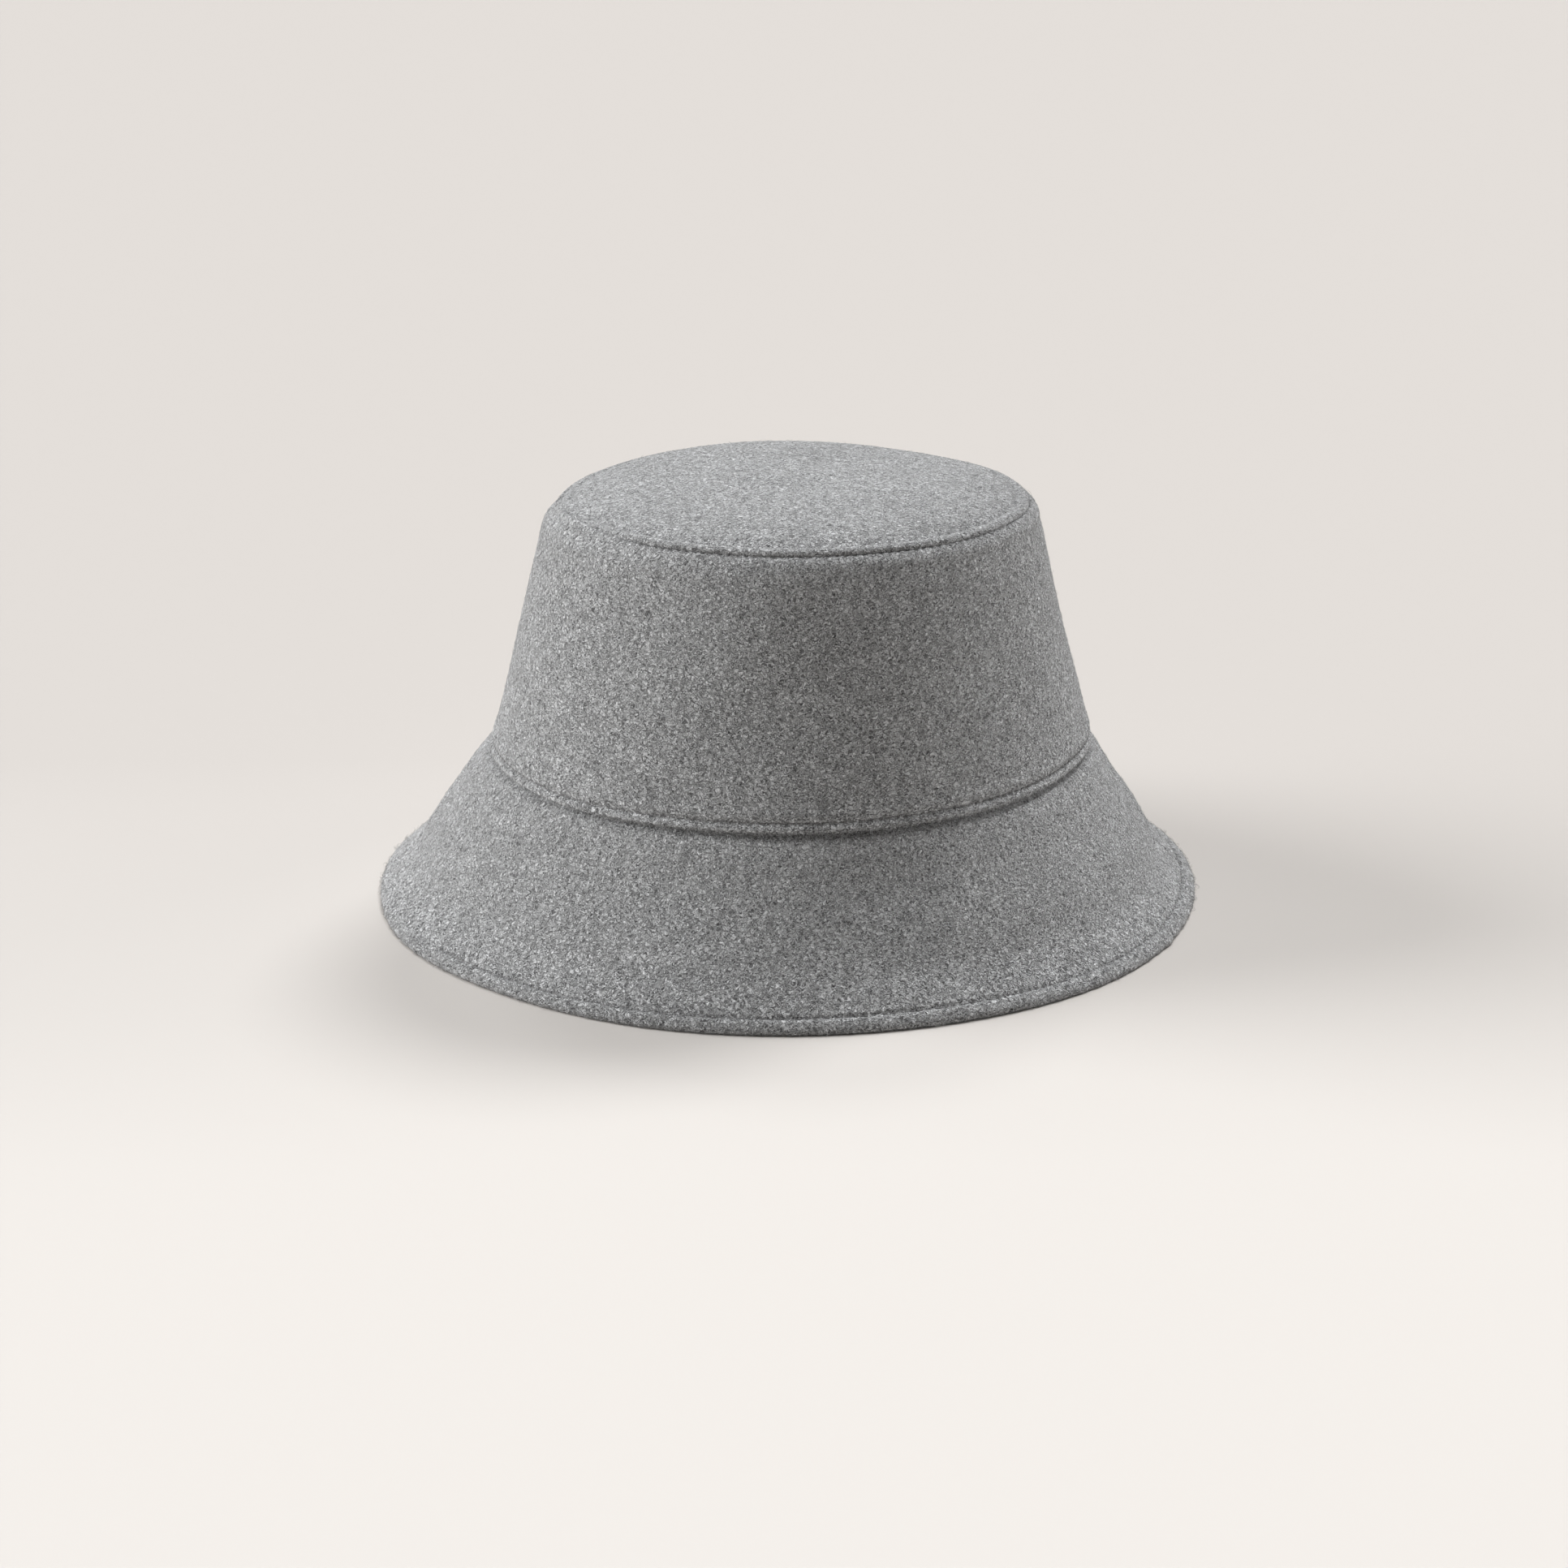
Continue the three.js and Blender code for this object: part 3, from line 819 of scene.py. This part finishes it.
stiffener_shape = section(
    STIFFENER_MARGIN[0],
    BRIM_LENGTH - STIFFENER_MARGIN[1],
    STIFFENER_CLOTH,
    3.0,
    BRIM_WOOL + GAP,
)
half_panels("brim_stiffener", BRIM, stiffener_shape, None, CANVAS, "interlining")

tip_canvas = disc("tip_interlining_cloth", TIP, TIP_CANVAS_RADIUS, CANVAS_CLOTH, 3.0, 160, 2.1)
dress(tip_canvas, CANVAS, "interlining", "tip_interlining")


# ---- inside ----------------------------------------------------------------------------------

LINING_DEPTH = LAP + 2 * BRIM_WOOL + GAP + 0.1
LINING_CLOTH = 0.4
LINING_ROUND = 0.5  # left free at both ends of the side lining for its rounded edges
BAND_CLOTH = 0.8
BAND_DEPTH = LINING_DEPTH + 0.8 + BAND_CLOTH  # the lining's folds have room behind it
BAND_TOP = 33.0
BAND_ROW = 2.2
BACK = math.pi / 2

lining_top = (66.9, TIP_SEAM - 2.6)
lining_base = CROWN.at(1.0, LINING_DEPTH)
lining_pull = CROWN.at(48.0, LINING_DEPTH + 1.2)
LINING = Path([bezier([lining_base, lining_pull, lining_top], 60)], side=-1)


def lining_relief(s, angle, face):
    """A loose lining: soft upright folds that fade out at both sewn edges and behind the labels."""
    free = smooth(s / 26) * smooth((LINING.last - s) / 10)
    folds = np.sin(17 * angle + 2 * np.sin(3 * angle)) + 0.6 * np.sin(41 * angle + s * 0.05)
    loose = 1 - 0.9 * bump(turn_from(angle, BACK), 0.4)
    seam, painted_seam_shade = side_seam(angle, 80.0)
    return -0.28 * free * loose * (folds + 1.6) + 0.3 * seam, 0.5 * painted_seam_shade


lining_shape = section(LINING_ROUND, LINING.last - LINING_ROUND, LINING_CLOTH, 1.8)
linings = half_panels("lining_side", LINING, lining_shape, lining_relief, SATIN, "lining")

lining_dome = bezier(
    [(0, TOP_HEIGHT - 4.6), (34, TOP_HEIGHT - 4.4), (58, TOP_HEIGHT - 6.2), (67.1, TIP_SEAM - 2.4)],
    40,
)
LINING_TIP = Path([lining_dome], side=1)


def lining_tip_relief(s, angle, face):
    """Soft puckers that turn round the middle and fade out at the sewn edge."""
    puckers = 0.25 * np.sin(7 * angle + 0.2 * s) * smooth(s / 20)
    puckers = puckers * smooth((LINING_TIP.last - s) / 14)
    return puckers, np.zeros_like(puckers)


tip_lining = disc(
    "lining_tip_cloth",
    LINING_TIP,
    LINING_TIP.last - 0.4,
    LINING_CLOTH,
    2.0,
    240,
    relief=lining_tip_relief,
)
dress(tip_lining, SATIN, "lining", "lining_tip")

BAND = Path([offset_line(CROWN, 1.0, BAND_TOP, BAND_DEPTH, 30)], side=-1)


def band_relief(s, angle, face):
    groove, dark = stitch_line(s, angle, BAND_ROW, EDGE_COUNT, 0.3, 0.7, 0.4)
    easing = 0.12 * np.sin(23 * angle) * smooth(s / 20)
    return face * groove + easing, dark


band_shape = section(0.0, BAND.last, BAND_CLOTH, 1.6, closer=[(BAND_ROW, 2.5, 0.35)])
sweatband = sweep("sweatband_cloth", BAND, band_shape, BACK, BACK + TAU, 560, band_relief)
dress(sweatband, RIBBON, "sweatband", "sweatband")


# ---- labels ----------------------------------------------------------------------------------

LABEL_MARGIN = (0.9, 0.5)  # a label is drawn this far inside its box's lower and upper edge


def sewn_corners(low, high):
    """The angles that a label's box spans, seen from the middle of the hat."""
    x, y = (low[0] + high[0]) / 2, (low[1] + high[1]) / 2
    middle = math.atan2(y, x)
    half = (high[0] - low[0]) / 2 / math.hypot(y, x)
    return middle - half, middle + half


def label_patch(name, low, high, path, thickness, lift):
    """A patch of tape sewn flat, with its back a small lift off the path's face."""
    heights = path.points[:, 1]
    first = float(np.interp(low[2] + LABEL_MARGIN[0], heights, path.length))
    last = float(np.interp(high[2] - LABEL_MARGIN[1], heights, path.length))
    start, stop = sewn_corners(low, high)
    shape = section(first, last, thickness, 1.0, -lift - thickness)
    return sweep(name, path, shape, start, stop, 40)


maker = label_patch("maker_label_cloth", maker_low, maker_high, LINING, thickness=0.3, lift=0.55)
dress(maker, TAPE, "label", "maker_label")
tab = label_patch("size_tab_cloth", tab_low, tab_high, BAND, thickness=0.4, lift=0.25)
dress(tab, TAPE, "label", "size_tab")

CARE_TAPE = 0.28


def care_label():
    """A strip of tape that hangs from its top edge, bowed a little and round at its corners."""
    width, height = care_high[0] - care_low[0], care_high[2] - care_low[2]
    middle_y = (care_low[1] + care_high[1]) / 2
    across, down = 24, 34
    side, drop = np.linspace(-0.5, 0.5, across + 1), np.linspace(0, 1, down + 1)
    u, v = np.meshgrid(side, drop, indexing="ij")
    near_side, near_end = (np.abs(u) - 0.44) / 0.06, (v - 0.9) / 0.1
    round_corner = 1.2 * np.clip(near_side, 0, 1) ** 2 * np.clip(near_end, 0, 1)
    x = u * width
    z = care_high[2] - v * height + round_corner
    y = middle_y - 0.35 * v ** 2 - 0.5 * v * (2 * u) ** 2
    layers = [np.stack([x, y + half, z], -1) for half in (-CARE_TAPE / 2, CARE_TAPE / 2)]
    points = np.concatenate([layer.reshape(-1, 3) for layer in layers])
    rows = down + 1
    total = (across + 1) * rows
    faces, uvs = [], []

    def face(*corners):
        faces.append(list(corners))
        uvs.extend([(points[k][0], points[k][2]) for k in corners])

    for i in range(across):
        for j in range(down):
            a, b = i * rows + j, (i + 1) * rows + j
            face(a, b, b + 1, a + 1)
            face(total + a + 1, total + b + 1, total + b, total + a)
    for i in range(across):
        a, b = i * rows, (i + 1) * rows
        face(b, a, total + a, total + b)
        a, b = i * rows + down, (i + 1) * rows + down
        face(a, b, total + b, total + a)
    for j in range(down):
        face(j, j + 1, total + j + 1, total + j)
        a = across * rows + j
        face(a + 1, a, total + a, total + a + 1)
    return closed_object("care_label_cloth", points, faces, uvs)


care = care_label()
dress(care, TAPE, "label", "care_label", body="care_label")


# ---- rows of stitches ------------------------------------------------------------------------

def thread_row(node, path, s, depth, thread):
    """A row of stitches at a depth under a path, of thread with the given radius."""
    piece = stitches(f"{node}_threads", path, s, depth, thread)
    return dress(piece, WOOL_THREAD, "thread", node)


thread_row("tip_topstitch", CROWN, CROWN_SEAM_TOP - 0.1, 0.15, thread=0.2)
thread_row("crown_base_topstitch", CROWN, WELT, 0.45, thread=0.2)
thread_row("brim_edge_topstitch", BRIM, EDGE_S, 0.75, thread=0.22)
thread_row("brim_edge_underthread", UNDER, UNDER_ROW, 0.5, thread=0.24)
thread_row("sweatband_stitch", BAND, BAND_ROW, 0.15, thread=0.24)


# ---- fuzz ------------------------------------------------------------------------------------

def surface_samples(path, first, last, start, stop, per_mm2, seed):
    """Even random spots on a face, as distance along the path and angle."""
    rng = np.random.default_rng(seed)
    marks = np.linspace(first, last, 200)
    radius, _ = path.at(marks, 0.0)
    radius = np.maximum(radius + OVAL_EXTRA / 2, 0.01)
    area = (radius[1:] + radius[:-1]) / 2 * np.diff(marks)
    weight = np.concatenate([[0], np.cumsum(area)])
    count = int(weight[-1] * (stop - start) * per_mm2)
    s = np.interp(rng.random(count) * weight[-1], weight, marks)
    return s, start + (stop - start) * rng.random(count), rng


FUZZ = fuzz_material("loose wool fibres", 0.12, 0.75)
FUZZ_DENSITY = 0.25  # fibres per square mm
FUZZ_LENGTH = 1.7  # in mm, as are the lift and the radius
FUZZ_LIFT = 0.14  # how far the middle of a usual fibre stands off the face
FUZZ_RADIUS = 0.032
ALL_ROUND = (0.0, TAU)


def fuzz(name, parent, path, relief, span, turn, seed,
         density=FUZZ_DENSITY, length=FUZZ_LENGTH, lift=FUZZ_LIFT):
    """Loose wool fibres lying over a face, each a short curl, some standing off it."""
    s, angle, rng = surface_samples(path, *span, *turn, density, seed)
    count, knots = len(s), 6
    ring = np.maximum(path.at(s, 0.0)[0], 4.0)
    reach = length * np.exp(rng.normal(0, 0.45, count))
    heading = rng.random(count) * TAU
    curl = rng.normal(0, 1.5, count)
    rise = lift * np.abs(rng.normal(0, 1, count)) ** 1.5
    t = np.linspace(0, 1, knots)[None, :]
    direction = heading[:, None] + curl[:, None] * t
    step = reach[:, None] / (knots - 1)
    ds = np.cumsum(np.cos(direction) * step, 1)
    da = np.cumsum(np.sin(direction) * step, 1) / ring[:, None]
    height = rise[:, None] * np.sin(math.pi * 0.75 * t) - 0.03
    fibre_s, fibre_a = s[:, None] + ds, angle[:, None] + da
    depth = relief(fibre_s, fibre_a, np.ones_like(fibre_s))[0] - height
    points = place(path, fibre_s, depth, fibre_a).reshape(-1, 3) * MM
    curves = bpy.data.hair_curves.new(name)
    curves.add_curves([knots] * count)
    curves.attributes["position"].data.foreach_set("vector", points.astype(np.float32).ravel())
    taper = (FUZZ_RADIUS * (1 - 0.55 * t) * np.ones((count, 1)) * MM).astype(np.float32)
    if "radius" not in curves.attributes:
        curves.attributes.new("radius", "FLOAT", "POINT")
    curves.attributes["radius"].data.foreach_set("value", taper.ravel())
    curves.materials.append(FUZZ)
    thing = bpy.data.objects.new(name, curves)
    bpy.context.scene.collection.objects.link(thing)
    thing.parent = parent


crown_span = (0.0, CROWN_SEAM_TOP)
brim_span = (1.0, BRIM.last)
under_span = (2.5, UNDER.last - ALLOWANCE)
edge_span = (BRIM_LENGTH - 1.0, BRIM.last)
tip_span = (0.5, TIP_LIP)
for seed, (half, turn) in enumerate(HALVES.items()):
    crown, brim, under = crown_sides[half], brim_tops[half], brim_unders[half]
    fuzz(f"crown_fuzz_{half}", crown, CROWN, crown_relief, crown_span, turn, 10 + seed)
    fuzz(f"brim_fuzz_{half}", brim, BRIM, brim_relief, brim_span, turn, 20 + seed)
    fuzz(f"under_fuzz_{half}", under, UNDER, under_relief, under_span, turn, 30 + seed,
         density=FUZZ_DENSITY / 2)
fuzz("edge_fuzz", brim_tops["front"], BRIM, brim_relief, edge_span, ALL_ROUND, 50,
     density=2.0, length=1.1, lift=0.35)
fuzz("tip_fuzz", tip_panel, TIP, tip_relief, tip_span, ALL_ROUND, 40)


# ---- what each sheet of cloth was cut to -----------------------------------------------------

def cut_size(path, first, last, share):
    """Flat width, length and area of a panel that goes round a share of the hat."""
    marks = np.linspace(first, last, 60)
    rings = np.array([ring_length(path, s, 0.0) for s in marks[::6]])
    rings = np.interp(marks, marks[::6], rings) * share
    area = float(np.sum((rings[1:] + rings[:-1]) / 2 * np.diff(marks)))
    width, length = float(rings.max()), float(last - first)
    return width * MM, length * MM, min(area * MM * MM, width * length * MM * MM)


def declare_sheet(path, first, last, share):
    """A panel that goes round a share of the hat is cut to its length round by its depth. Its sizes
    are worked out here and not kept.
    """
    width, length, area = cut_size(path, first, last, share)


def declare_oval(path, last):
    """An oval disc is cut to its width and length across the middle. Only its area is worked out
    here, and it is not kept.
    """
    area = cut_size(path, 0.5, last, 1.0)[2]


crown_last = crown_shape[0].max()
for half in HALVES:
    declare_sheet(CROWN, 0.0, crown_last, 0.5)
    declare_sheet(BRIM, -ALLOWANCE, BRIM.last, 0.5)
    declare_sheet(UNDER, 0.0, UNDER.last, 0.5)
    declare_sheet(LINING, 0.0, LINING.last, 0.5)
declare_oval(TIP, TIP_LIP + TIP_ALLOWANCE)
declare_oval(LINING_TIP, LINING_TIP.last)
declare_sheet(BAND, 0.0, BAND.last, 1.0)


# ---- floor, light and camera -----------------------------------------------------------------

WALL = (0.75, 0.71, 0.68)
CEILING = 0.08
WALL_TOP = (5, 18)  # the walls fade into the ceiling between these elevations, in degrees
FLOOR_REACH = 12.0
# the floor's colour far away and, brighter, in front of the hat: a painted pool of light
FLOOR_FAR = (0.468, 0.445, 0.425)
FLOOR_PAINTED_LIGHT_NEAR = (0.552, 0.53, 0.507)

# name, azimuth and elevation in degrees, strength, width seen from the hat in degrees
LIGHTS = [
    ("left", 90, 5, 1.15, 40),
    ("left window", 102, 25, 3.2, 40),
    ("right", -112, 5, 1.7, 40),
    ("right window", -145, 48, 2.05, 16),
    ("top", 180, 80, 1.32, 30),
    ("back", 180, 50, 0.5, 10),
]

CAMERA_DISTANCE = 0.9466
CAMERA_PITCH = math.radians(17.69)
CAMERA_AIM = (-0.0018, 0.0, 0.0294)
CAMERA_FIELD = math.radians(29.15)


def floor():
    """A pale floor with a painted pool of light: its colour is a little brighter in front of the
    hat than behind it.
    """
    corners = [(-1, -1), (1, -1), (1, 1), (-1, 1)]
    corners = [(x * FLOOR_REACH, y * FLOOR_REACH, 0) for x, y in corners]
    mesh = bpy.data.meshes.new("floor")
    mesh.from_pydata(corners, [], [(0, 1, 2, 3)])
    thing = bpy.data.objects.new("floor", mesh)
    bpy.context.scene.collection.objects.link(thing)
    n = Nodes("pale floor")
    on_floor = n.add("ShaderNodeTexCoord").outputs["Object"]
    y = n.add("ShaderNodeSeparateXYZ", {0: on_floor}).outputs[1]
    # painted pool of light: the floor's colour brightens in a band in front of the hat and fades
    # behind it
    painted_light_pool = n.math("MULTIPLY", n.stretch(y, 0.12, -0.22), n.stretch(y, -2.6, -0.6))
    floor_with_painted_light = n.add("ShaderNodeMix", {"Factor": painted_light_pool}, data_type="RGBA")
    floor_with_painted_light.inputs[6].default_value = (*FLOOR_FAR, 1)
    floor_with_painted_light.inputs[7].default_value = (*FLOOR_PAINTED_LIGHT_NEAR, 1)
    n.join(floor_with_painted_light.outputs[2], n.shader.inputs["Base Color"])
    n.shader.inputs["Roughness"].default_value = 0.95
    n.shader.inputs["Specular IOR Level"].default_value = 0.0
    mesh.materials.append(n.material)


def far_light(name, azimuth, elevation, strength, softness):
    """A very large light a long way off. Azimuth 0 is the front and 90 the viewer's left."""
    light = bpy.data.lights.new(name, "SUN")
    light.energy = strength
    light.angle = math.radians(softness)
    thing = bpy.data.objects.new(name, light)
    bpy.context.scene.collection.objects.link(thing)
    turn, rise = math.radians(azimuth), math.radians(elevation)
    level = math.cos(rise)
    towards = Vector((-math.sin(turn) * level, -math.cos(turn) * level, math.sin(rise)))
    thing.location = towards
    thing.rotation_euler = (-towards).to_track_quat("-Z", "Y").to_euler()


def studio_walls():
    """Pale walls at the horizon that give way to a dim ceiling."""
    setting = bpy.data.worlds.new("studio")
    setting.use_nodes = True
    tree = setting.node_tree
    direction = tree.nodes.new("ShaderNodeTexCoord").outputs["Generated"]
    split = tree.nodes.new("ShaderNodeSeparateXYZ")
    tree.links.new(direction, split.inputs[0])
    fade = tree.nodes.new("ShaderNodeMapRange")
    fade.interpolation_type = "SMOOTHSTEP"
    tree.links.new(split.outputs[2], fade.inputs["Value"])
    fade.inputs["From Min"].default_value = math.sin(math.radians(WALL_TOP[0]))
    fade.inputs["From Max"].default_value = math.sin(math.radians(WALL_TOP[1]))
    fade.inputs["To Min"].default_value = 1.0
    fade.inputs["To Max"].default_value = CEILING
    tree.links.new(fade.outputs[0], tree.nodes["Background"].inputs["Strength"])
    tree.nodes["Background"].inputs["Color"].default_value = (*WALL, 1)
    bpy.context.scene.world = setting


def camera():
    """The photograph's view: from the front, about 18 degrees up and 0.95 m away."""
    data = bpy.data.cameras.new("camera")
    data.sensor_width = 36.0
    data.lens = data.sensor_width / 2 / math.tan(CAMERA_FIELD / 2)
    thing = bpy.data.objects.new("camera", data)
    bpy.context.scene.collection.objects.link(thing)
    back = Vector((0, -math.cos(CAMERA_PITCH), math.sin(CAMERA_PITCH)))
    thing.location = Vector(CAMERA_AIM) + back * CAMERA_DISTANCE
    thing.rotation_euler = (-back).to_track_quat("-Z", "Y").to_euler()
    bpy.context.scene.camera = thing


floor()
camera()
studio_walls()
for light in LIGHTS:
    far_light(*light)
bpy.context.scene.view_settings.view_transform = "Standard"
